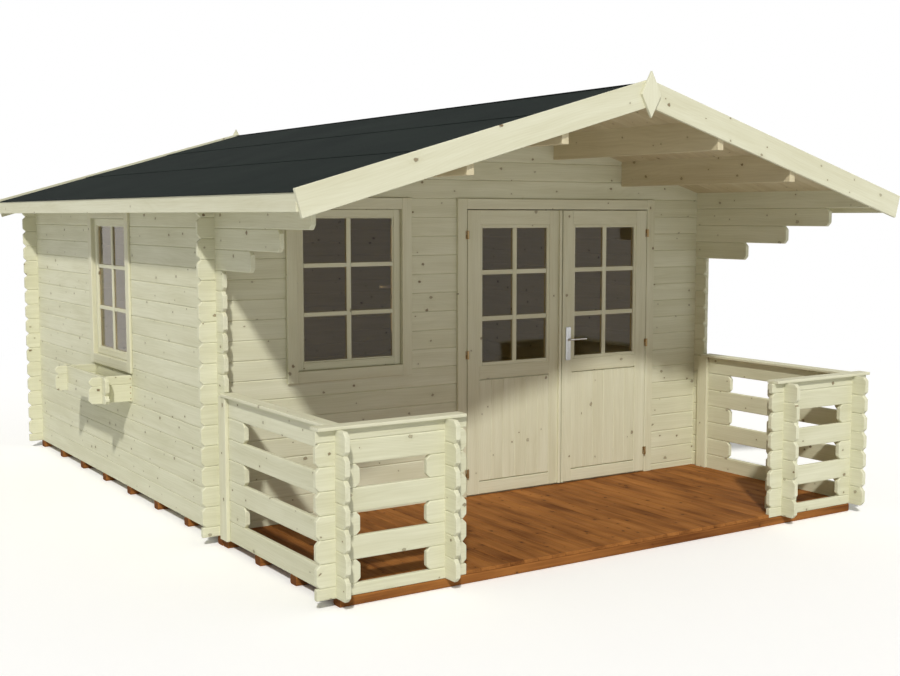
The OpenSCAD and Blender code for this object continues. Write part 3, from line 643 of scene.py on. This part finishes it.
# %% From the flat frame to the slope
down = np.array([[math.cos(turn), 0, math.sin(turn)], [0, 1, 0],
                 [-math.sin(turn), 0, math.cos(turn)]])
roof_y0, roof_y1 = ends("roofing_felt")[1], ends("roofing_felt")[4]
roof_edge = ends("roofing_felt")[3] / math.cos(turn)
roof_t = 0.018


def tipped(part):
    """A part of the flat frame on the right-hand slope."""
    return moved(part, down, (0, 0, ridge_z))


def both_slopes(make):
    """Calls make() once for each side, so that the two sides differ in grain."""
    return [tipped(p) for p in make()], flipped(tipped(p) for p in make())


# %% Roof boards run down the slope, side by side along the ridge
fascia_x = ends("roof_boards_right")[3]


def roof_boards():
    """Boards of one slope, from just over the ridge to the eaves board."""
    count = round((roof_y1 - roof_y0) / plank_w)
    lines = np.linspace(roof_y0, roof_y1, count + 1)
    length = fascia_x / math.cos(turn)
    over_ridge, gap, short = 0.02, 0.0005, 0.0055
    return [timber(0, (-over_ridge, a + gap, 0), (length - short, b - gap, roof_t), 0.003)
            for a, b in zip(lines, lines[1:])]


for label, boards, side in zip(("right", "left"), both_slopes(roof_boards), (-1, 1)):
    slope_boards = piece(f"roof_boards_{label}_planks", boards, roof_wood,
                         [f"roof_boards_{label}"])
    sawn(slope_boards, (0, 0, 0), (side, 0, 0))


# %% Bargeboards: slanting boards, plumb at the peak and square at the eaves
barge_w = 0.143
for end_name in ("front", "rear"):
    for side_name in ("left", "right"):
        node = f"{end_name}_bargeboard_{side_name}"
        x0, y0, z0, x1, y1, z1 = ends(node)
        top = (z1 - ridge_z) * math.cos(turn)
        foot = max(abs(x0), abs(x1)) / math.cos(turn) - top * math.tan(turn)
        board = [tipped(timber(0, (-0.1, y0, top - barge_w), (foot, y1, top), 0.003))]
        left = side_name == "left"
        board = piece(node + "_board", flipped(board) if left else board, board_wood, [node])
        sawn(board, (0, 0, 0), (1 if left else -1, 0, 0))

# %% [markdown]
# The eaves boards close the ends of the roof boards, a diamond board hides the joint of two
# bargeboards, and four purlins, with tops sawn to the slope, carry the roof.

# %% Eaves boards
x0, y0, z0, x1, y1, z1 = ends("eaves_fascias")
fascia = timber(1, (fascia_x, y0, z0), (x1, y1, z1), 0.002)
eaves = piece("eaves_boards", [fascia, mirrored(fascia)], board_wood, ["eaves_fascias"])
sawn_to_slopes(eaves, ridge_z + roof_t / math.cos(turn))

# %% Diamond boards
def diamond(low, high, edge=0.002):
    """A flat four-cornered prism with a narrow bevel round its two faces."""
    (x0, y0, z0), (x1, y1, z1) = low, high
    middle = np.array([(x0 + x1) / 2, (z0 + z1) / 2])
    corners = np.array([[x1, middle[1]], [middle[0], z1], [x0, middle[1]], [middle[0], z0]])
    drawn = middle + (corners - middle) * (1 - 2 * edge / (x1 - x0) * 1.4)
    rings = [(y0, drawn), (y0 + edge, corners), (y1 - edge, corners), (y1, drawn)]
    points = np.concatenate([np.column_stack([c[:, 0], np.full(4, y), c[:, 1]])
                             for y, c in rings])
    grain = points[:, [2, 1, 0]] + dice.uniform(0, grain_shift, 3)
    return part_of(points, tube_faces(len(rings), 4, True), grain, 0.6, dice.uniform())


x0, y0, z0, x1, y1, z1 = ends("gable_finials")
finial_t = 0.018
diamonds = [diamond((x0, y, z0), (x1, y + finial_t, z1)) for y in (y0, y1 - finial_t)]
piece("gable_diamonds", diamonds, board_wood, ["gable_finials"])

# %% Purlins
purlin_t, purlin_h, to_saw = 0.045, 0.165, 0.02
purlin_parts = []
for x in (0.565, 1.166):
    foot = ridge_z - slope * x - purlin_h
    purlin_parts.append(timber(1, (x - purlin_t / 2, roof_y0, foot),
                               (x + purlin_t / 2, roof_y1, foot + purlin_h + to_saw), 0.003))
purlins = piece("purlin_timbers", purlin_parts + flipped(purlin_parts), roof_wood,
                ["roof_purlins"])
sawn_to_slopes(purlins, ridge_z)

# %% [markdown]
# Rolls of felt are laid along the eaves, each over the upper edge of the one below. Each is a
# thin sheet of the flat frame, and the upper ones lie one felt thickness higher at their lower
# edge.

# %% Felt rolls
felt_t = 0.003
felt_base = roof_t + 0.0002
felt_steps = [(roof_edge, 1.30), (1.457, 0.55), (0.70, -0.02)]


def felt_roll(x_low, x_high, lift):
    """A roll between two distances from the ridge. The lower edge is lifted over the roll
    below."""
    s = np.array([x_high, (x_low + x_high) / 2, x_low - 0.03, x_low])
    base = felt_base + np.array([0.0, 0.0, lift, lift])
    rows = np.concatenate([np.column_stack([s, base]),
                           np.column_stack([s[::-1], (base + felt_t)[::-1]])])
    points = np.concatenate([np.column_stack([rows[:, 0], np.full(8, y), rows[:, 1]])
                             for y in (roof_y0, roof_y1)])
    return part_of(points, tube_faces(2, 8, True), points + dice.uniform(0, 9, 3),
                   tone=dice.uniform())


felt_rolls = [felt_roll(low_x, high_x, felt_t if number else 0.0)
              for number, (low_x, high_x) in enumerate(felt_steps)]

# %% Felt finish: near black, with fine mineral grit, a little dust and shallow waves
roof_felt, tree = blank("bitumen felt")
spot = add(tree, "ShaderNodeTexCoord").outputs["Object"]
grit, dust = noise(tree, spot, 420.0, 3.0), noise(tree, spot, 1.7, 5.0, Roughness=0.65)
wave = noise(tree, scaled(tree, spot, (3.0, 0.7, 3.0)), 1.0, 2.0)
colour = blend_colour(tree, ramp(tree, dust, [(0.35, 0.0), (0.75, 1.0)]),
                      (0.012, 0.016, 0.0145, 1), (0.020, 0.026, 0.023, 1))
colour = blend_colour(tree, times(tree, ramp(tree, grit, [(0.58, 0.0), (0.74, 1.0)]), 0.5),
                      colour, (0.055, 0.062, 0.058, 1))
surface(tree, {"Base Color": colour, "Roughness": plus(tree, 0.86, dust, 0.12),
               "Specular IOR Level": 0.03}, plus(tree, times(tree, grit, 0.12), wave, 2.0),
        0.6, 0.004)
felt_parts = [tipped(p) for p in felt_rolls]
piece("felt_rolls", felt_parts + flipped(felt_parts), roof_felt, ["roofing_felt"])

# %% [markdown]
# Doors and windows are stiles and rails round a pane, with bars that divide it. They are made
# in one drawing plane: u across, v into the wall (negative is outside), z up. A window is then
# shifted to the front wall or turned to the side one.

# %% Bars and frames in the drawing plane
half_glass = 0.002


def bar_u(u0, u1, v0, v1, z0, z1, radius):
    """A timber along u."""
    return timber(0, (u0, v0, z0), (u1, v1, z1), radius)


def bar_z(u0, u1, v0, v1, z0, z1, radius):
    """An upright timber."""
    return timber(2, (u0, v0, z0), (u1, v1, z1), radius)


def frame_of(u0, u1, z0, z1, width, v0, v1, radius):
    """Two uprights over the full height with a head and a foot between them."""
    return [bar_z(u0, u0 + width, v0, v1, z0, z1, radius),
            bar_z(u1 - width, u1, v0, v1, z0, z1, radius),
            bar_u(u0 + width, u1 - width, v0, v1, z1 - width, z1, radius),
            bar_u(u0 + width, u1 - width, v0, v1, z0, z0 + width, radius)]


def glazing_bars(u0, u1, z0, z1, glass_v, upright, level, depth):
    """One upright bar and two level ones on each face of the pane: 2 by 3 lights."""
    left, right = (u0 + u1) / 2 - upright / 2, (u0 + u1) / 2 + upright / 2
    third = (z1 - z0 - 2 * level) / 3
    parts = []
    for va, vb in ((glass_v - depth, glass_v - half_glass), (glass_v + half_glass, glass_v + depth)):
        parts.append(bar_z(left, right, va, vb, z0, z1, 0.005))
        for step in (1, 2):
            low = z0 + step * third + (step - 1) * level
            parts += [bar_u(u0, left, va, vb, low, low + level, 0.005),
                      bar_u(right, u1, va, vb, low, low + level, 0.005)]
    return parts


def beads(u0, u1, z0, z1, size, glass_v):
    """A small moulding round the pane on each of its faces, outside the given outline."""
    parts = []
    for va, vb in ((glass_v - half_glass - size, glass_v - half_glass),
                   (glass_v + half_glass, glass_v + half_glass + size)):
        parts += frame_of(u0 - size, u1 + size, z0 - size, z1 + size, size, va, vb, 0.004)
    return parts


# %% [markdown]
# A window has trim boards outside and inside, a lining through the wall, a sash and its bars.
# The model's pane of glass stays as it is and only gets its material.

# %% Window parts
trim_w, trim_t, sash_w, bead = 0.07, 0.018, 0.056, 0.009
sash_v0, sash_v1 = ends("front_window_sash")[1], ends("front_window_sash")[4]


def window_parts(w, h):
    """Trim with lining, and sash with bars, round the window's own middle."""
    half_w_hole, half_h_hole = w / 2 - trim_cover, h / 2 - trim_cover
    half_u, half_z = w / 2 - trim_w, h / 2 - trim_w
    trim = []
    for v0, v1 in ((-trim_t, 0.0), (log_t, log_t + trim_t)):
        trim += frame_of(-w / 2, w / 2, -h / 2, h / 2, trim_w, v0, v1, 0.004)
    trim += frame_of(-half_w_hole, half_w_hole, -half_h_hole, half_h_hole, 0.02, 0.0, log_t,
                     0.001)
    gap = 0.002
    sash = frame_of(gap - half_u, half_u - gap, gap - half_z, half_z - gap, sash_w - bead - gap,
                    sash_v0, sash_v1, 0.004)
    light = (sash_w - half_u, half_u - sash_w, sash_w - half_z, half_z - sash_w)
    glass_v = (sash_v0 + sash_v1) / 2
    sash += beads(*light, bead, glass_v)
    return trim, sash + glazing_bars(*light, glass_v, upright=0.030, level=0.026, depth=0.012)


def window_place(label):
    """Turn in degrees, middle on the wall's face, width and height of a window."""
    x0, y0, z0, x1, y1, z1 = ends(f"{label}_window_trim")
    if label == "front":
        return 0, ((x0 + x1) / 2, 0.0, (z0 + z1) / 2), x1 - x0, z1 - z0
    return -90, (-half_w, (y0 + y1) / 2, (z0 + z1) / 2), y1 - y0, z1 - z0


for label in ("front", "side"):
    degrees, shift, w, h = window_place(label)
    for kind, node, parts in zip(("boards", "bars"), ("trim", "sash"), window_parts(w, h)):
        piece(f"{label}_window_{kind}", [turned(p, degrees, shift) for p in parts], joinery_wood,
              [f"{label}_window_{node}"])

# %% [markdown]
# The double door has jambs and a head with trim on both faces, a threshold, and two leaves.
# A leaf is glazed above and boarded below, with a narrow groove over and under its boards, and
# carries half of the cover strip. Each leaf rides on its own body.

# %% Door frame
x0, y0, z0, x1, y1, z1 = ends("door_frame")
jamb_t, threshold_t = 0.03, 0.024
jamb0, jamb1 = x0 + trim_w, x1 - trim_w
hole0, hole1 = jamb0 - jamb_t, jamb1 + jamb_t
head_z = z1 - head_cover - jamb_t
door_parts = []
for v0, v1 in ((y0, 0.0), (log_t, y1)):
    door_parts += [bar_z(x0, x0 + trim_w, v0, v1, floor_top, z1, 0.004),
                   bar_z(x1 - trim_w, x1, v0, v1, floor_top, z1, 0.004),
                   bar_u(x0 + trim_w, x1 - trim_w, v0, v1, head_z, z1, 0.004)]
door_parts += [bar_z(hole0, jamb0, 0.0, log_t, z0, z1 - head_cover, 0.001),
               bar_z(jamb1, hole1, 0.0, log_t, z0, z1 - head_cover, 0.001),
               bar_u(jamb0, jamb1, 0.0, log_t, head_z, head_z + jamb_t, 0.001),
               bar_u(jamb0, jamb1, 0.0, log_t, z0, z0 + threshold_t, 0.003)]
piece("door_frame_boards", door_parts, joinery_wood, ["door_frame"])


# %% Door leaves
def door_leaf(label, x0, x1, z0, z1, joint_x):
    """Stiles, rails, boarded panel, beads, bars and half the cover strip of one leaf."""
    leaf_t, stile, pane_stile, strip_w = 0.04, 0.096, 0.118, 0.020
    foot_rail, panel_h, middle_rail, head_rail = 0.081, 0.686, 0.11, 0.117
    v0, v1 = -trim_t, -trim_t + leaf_t
    panel0, panel1 = z0 + foot_rail, z0 + foot_rail + panel_h
    pane0, pane1 = panel1 + middle_rail, z1 - head_rail
    inner, groove = pane_stile - stile, 0.007
    parts = [bar_z(x0, x0 + stile, v0, v1, z0, z1, 0.003),
             bar_z(x1 - stile, x1, v0, v1, z0, z1, 0.003)]
    for a, b in ((z0, panel0), (panel1, pane0 - inner), (pane1 + inner, z1)):
        parts.append(bar_u(x0 + stile, x1 - stile, v0, v1, a, b, 0.003))
    lines = np.linspace(x0 + stile, x1 - stile, 7)
    parts += [bar_z(a, b, v0 + 0.002, v1 - 0.002, panel0 + groove, panel1 - groove, 0.0035)
              for a, b in zip(lines, lines[1:])]
    parts.append(bar_u(x0 + stile, x1 - stile, v0 + 0.014, v1 - 0.014, panel0, panel1, 0.001))
    glass_v = (v0 + v1) / 2
    for va, vb in ((v0 + 0.002, glass_v - half_glass), (glass_v + half_glass, v1 - 0.002)):
        parts += frame_of(x0 + stile, x1 - stile, pane0 - inner, pane1 + inner, inner, va, vb,
                          0.006)
    parts += glazing_bars(x0 + pane_stile, x1 - pane_stile, pane0, pane1, glass_v,
                          upright=0.032, level=0.030, depth=0.013)
    strip_x = joint_x if joint_x == x0 else x1 - strip_w
    parts.append(bar_z(strip_x, strip_x + strip_w, v0 - 0.015, v0, z0, z1, 0.004))
    piece(f"{label}_door_leaf", parts, joinery_wood, [f"{label}_door"], f"{label}_door")


for label in ("left", "right"):
    x0, y0, z0, x1, y1, z1 = ends(f"{label}_door")
    door_leaf(label, x0, x1, z0, z1, x1 if label == "left" else x0)

# %% [markdown]
# The flower box is the wall in small: its logs cross at the corners and are sawn square where
# they meet the wall.

# %% Flower box
x0, y0, z0, x1, y1, z1 = ends("flower_box")
box_over, box_edge = 0.084, 0.005
third = (z1 - z0) / 3
front_face, end_face = x0 + box_over, y0 + box_over
box_parts = [timber(1, (front_face, y0, low), (front_face + log_t, y1, high), box_edge,
                    (log_cut, log_cut)) for low, high in ((z0, z0 + third), (z0 + third, z1))]
for y in (end_face, y1 - box_over - log_t):
    box_parts += [timber(0, (x0, y, low), (x1, y + log_t, high), box_edge, (log_cut, 0))
                  for low, high in ((z0, z1 - third), (z1 - third, z1))]
box_parts.append(timber(1, (front_face + log_t, end_face + log_t, z0),
                        (x1, y1 - box_over - log_t, z0 + 0.018), 0.002))
piece("flower_box_logs", box_parts, log_wood, ["flower_box"])

# %% [markdown]
# Glass is clear with a dark tint, so that the room behind it stays dim. The hinge metal is
# dull, with a little tarnish.

# %% Glass and metals
pane, tree = blank("window glass")
surface(tree, {"Base Color": (0.84, 0.70, 0.47, 1), "Roughness": 0.03,
               "Transmission Weight": 1.0, "IOR": 1.38})


def metal_finish(name, colour, dull, rough):
    """Metal with soft darker clouds and rougher patches."""
    material, tree = blank(name)
    cloud = noise(tree, add(tree, "ShaderNodeTexCoord").outputs["Object"], 45.0, 4.0)
    surface(tree, {"Base Color": blend_colour(tree, cloud, colour, dull),
                   "Roughness": plus(tree, rough - 0.08, cloud, 0.2), "Metallic": 1.0})
    return material


brass = metal_finish("dull brass", (0.52, 0.38, 0.20, 1), (0.33, 0.22, 0.10, 1), 0.38)
silver = metal_finish("satin silver", (0.74, 0.75, 0.76, 1), (0.60, 0.61, 0.62, 1), 0.3)
bright = metal_finish("bright silver", (0.93, 0.92, 0.90, 1), (0.82, 0.81, 0.79, 1), 0.45)


def coat(node, material):
    """Gives a model node that stays its new material."""
    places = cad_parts[node].material_slots
    for place in places:
        place.material = material
    if not places:
        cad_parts[node].data.materials.append(material)


for label in ("left_door", "right_door", "front_window", "side_window"):
    coat(f"{label}_glass", pane)
for label in ("frame", "left_door", "right_door"):
    coat(f"{label}_hinges", brass)


# %% Turned shapes: a profile swept round a path
def swept(path, radii, turn_steps=20):
    """A tube: at each path point p a circle p + r (side cos t + up sin t), square to the path's
    tangent, with side = tangent x z and up = side x tangent."""
    path = np.array(path, float)
    tangent = np.gradient(path, axis=0)
    tangent /= np.linalg.norm(tangent, axis=1)[:, None]
    side = np.cross(tangent, [0.0, 0.0, 1.0])
    side /= np.linalg.norm(side, axis=1)[:, None]
    up = np.cross(side, tangent)
    angle = np.linspace(0, 2 * math.pi, turn_steps, endpoint=False)
    ring = (np.cos(angle)[None, :, None] * side[:, None] + np.sin(angle)[None, :, None]
            * up[:, None]) * np.array(radii)[:, None, None]
    points = (path[:, None] + ring).reshape(-1, 3)
    return part_of(points, tube_faces(len(path), turn_steps, True), points)


def outward(thing):
    """Makes every closed part's faces point outwards."""
    bm = bmesh.new()
    bm.from_mesh(thing.data)
    bmesh.ops.recalc_face_normals(bm, faces=bm.faces[:])
    bm.to_mesh(thing.data)
    bm.free()
    thing.data.shade_smooth()
    thing.data.set_sharp_from_angle(angle=math.radians(40))
    return thing


# %% Handle: long plate, keyhole ring and curved lever
x0, y0, z0, x1, y1, z1 = ends("door_handle_plate")
_, ly0, lz0, lx1, ly1, lz1 = ends("door_handle_lever")
lever_z, spindle_x, bar_y = (lz0 + lz1) / 2, (x0 + x1) / 2, ly0 + 0.007
plate_parts = [timber(2, (x0, y0 + 0.001, z0), (x1, y1, z1), 0.006, ease=0.004)]
for z, radius, rim_radius in ((lever_z - 0.085, 0.0085, 0.007), (lever_z, 0.0145, 0.013)):
    plate_parts.append(swept([(spindle_x, y, z) for y in (y1, y0 + 0.0012, y0 + 0.0001)],
                             [radius, radius, rim_radius]))
outward(piece("handle_plate", plate_parts, silver, ["door_handle_plate"], "right_door"))
bend = np.array([(spindle_x, ly1, 0), (spindle_x, ly0 + 0.022, 0),
                 (spindle_x + 0.002, ly0 + 0.014, 0), (spindle_x + 0.007, ly0 + 0.009, 0),
                 (spindle_x + 0.016, bar_y, 0), (spindle_x + 0.06, bar_y, 0.0005),
                 (lx1 - 0.02, bar_y, 0.001), (lx1 - 0.004, bar_y, 0.001), (lx1, bar_y, 0.001)])
lever = swept(bend + [0, 0, lever_z],
              [0.008, 0.008, 0.0078, 0.0072, 0.0066, 0.0062, 0.0066, 0.0062, 0.003])
outward(piece("handle_lever", [lever], silver, ["door_handle_lever"], "door_lever"))

# %% Window handles inside, seen through the panes: a small plate and a lever along u
v, reach_u = sash_v1, 0.078
for label in ("front", "side"):
    degrees, shift, w, _ = window_place(label)
    u = w / 2 - trim_w - 0.027
    parts = [timber(2, (u - 0.012, v, -0.034), (u + 0.012, v + 0.009, 0.034), 0.004,
                    ease=0.003),
             swept([(u, v + 0.008, 0), (u, v + 0.030, 0), (u - 0.003, v + 0.038, 0),
                    (u - 0.010, v + 0.043, 0), (u - 0.022, v + 0.044, 0),
                    (u - reach_u, v + 0.044, 0)],
                   [0.0075, 0.0078, 0.0085, 0.0095, 0.0100, 0.0105])]
    outward(piece(f"{label}_window_handle", [turned(p, degrees, shift) for p in parts], bright))

# %% Screws that hold the flower box's end boards to the wall
x0, y0, z0, x1, y1, z1 = ends("flower_box")
screw_x, screw_r = x1 - 0.012, 0.0045
screws = []
for face_y, out in ((y0 + box_over, -1), (y1 - box_over, 1)):
    for share_up in (0.10, 0.32, 0.54, 0.86):
        screws.append(swept([(screw_x, face_y + out * depth, z0 + (z1 - z0) * share_up)
                             for depth in (-0.002, 0.0006, 0.0012)],
                            [screw_r, screw_r, 0.6 * screw_r], 10))
outward(piece("flower_box_screws", screws, brass))

# %% [markdown]
# The studio is a pale floor and a white surrounding, with soft light from the front left. The
# world lights the object at a plain level, weaker from the left: `L(x) = L0 (1 + g x)`.

# %% Floor: a wide level sheet under the beams, fading to plain white far from the cabin
r = 60.0
mesh = bpy.data.meshes.new("studio_floor")
mesh.from_pydata([(-r, -r, 0), (r, -r, 0), (r, r, 0), (-r, r, 0)], [], [(0, 1, 2, 3)])
floor = bpy.data.objects.new("studio_floor", mesh)
bpy.context.scene.collection.objects.link(floor)
material, tree = blank("studio floor")
seen = add(tree, "ShaderNodeLightPath").outputs["Is Camera Ray"]
shade = add(tree, "ShaderNodeMapRange", {"Value": seen, "To Min": 0.80, "To Max": 1.16})
shader = add(tree, "ShaderNodeBsdfPrincipled", {"Base Color": shade.outputs["Result"],
                                                "Roughness": 0.9})
spot = add(tree, "ShaderNodeTexCoord").outputs["Object"]
far = add(tree, "ShaderNodeVectorMath", {0: spot}, operation="LENGTH").outputs["Value"]
fade = add(tree, "ShaderNodeMapRange", {"Value": far, "From Min": 5.0, "From Max": 11.0},
           interpolation_type="SMOOTHSTEP").outputs["Result"]
glow = add(tree, "ShaderNodeEmission", {"Color": (1, 1, 1, 1), "Strength": 1.0})
both = add(tree, "ShaderNodeMixShader", {0: fade, 1: shader.outputs["BSDF"],
                                         2: glow.outputs["Emission"]})
add(tree, "ShaderNodeOutputMaterial", {"Surface": both.outputs["Shader"]})
mesh.materials.append(material)

# %% World and lamp
world = bpy.data.worlds.new("studio")
bpy.context.scene.world = world
world.use_nodes = True
tree = world.node_tree
tree.nodes.clear()
path = add(tree, "ShaderNodeLightPath")
seen = maths(tree, "MAXIMUM", path.outputs["Is Camera Ray"], path.outputs["Is Glossy Ray"])
seen = maths(tree, "MAXIMUM", seen, path.outputs["Is Transmission Ray"])
light_level, white_level, side_share = 0.37, 1.0, 0.36
toward = add(tree, "ShaderNodeSeparateXYZ",
             {"Vector": add(tree, "ShaderNodeTexCoord").outputs["Generated"]})
level = plus(tree, light_level, toward.outputs["X"], light_level * side_share)
strength = plus(tree, level, seen, maths(tree, "SUBTRACT", white_level, level))
back = add(tree, "ShaderNodeBackground", {"Color": (1, 1, 1, 1), "Strength": strength})
add(tree, "ShaderNodeOutputWorld", {"Surface": back.outputs["Background"]})

lamp = bpy.data.lights.new("soft_key", "SUN")
lamp.energy = 2.45
lamp.angle = math.radians(3)
lamp.color = (1.0, 0.985, 0.95)
key = bpy.data.objects.new("soft_key", lamp)
key.rotation_euler = (math.radians(50), 0, math.radians(-34.5))
bpy.context.scene.collection.objects.link(key)

# %% [markdown]
# The camera stands at eye height in front of the left corner and looks slightly down.

# %% Camera
camera_data = bpy.data.cameras.new("camera")
camera_data.sensor_width = 36
camera_data.lens = 50.36
camera_data.clip_end = 200
camera = bpy.data.objects.new("camera", camera_data)
camera.location = (-4.715, -6.805, 1.925)
camera.rotation_euler = (math.radians(90 - 5.57), 0, math.radians(-33.03))
bpy.context.scene.collection.objects.link(camera)
bpy.context.scene.camera = camera
bpy.context.scene.view_settings.view_transform = "Standard"
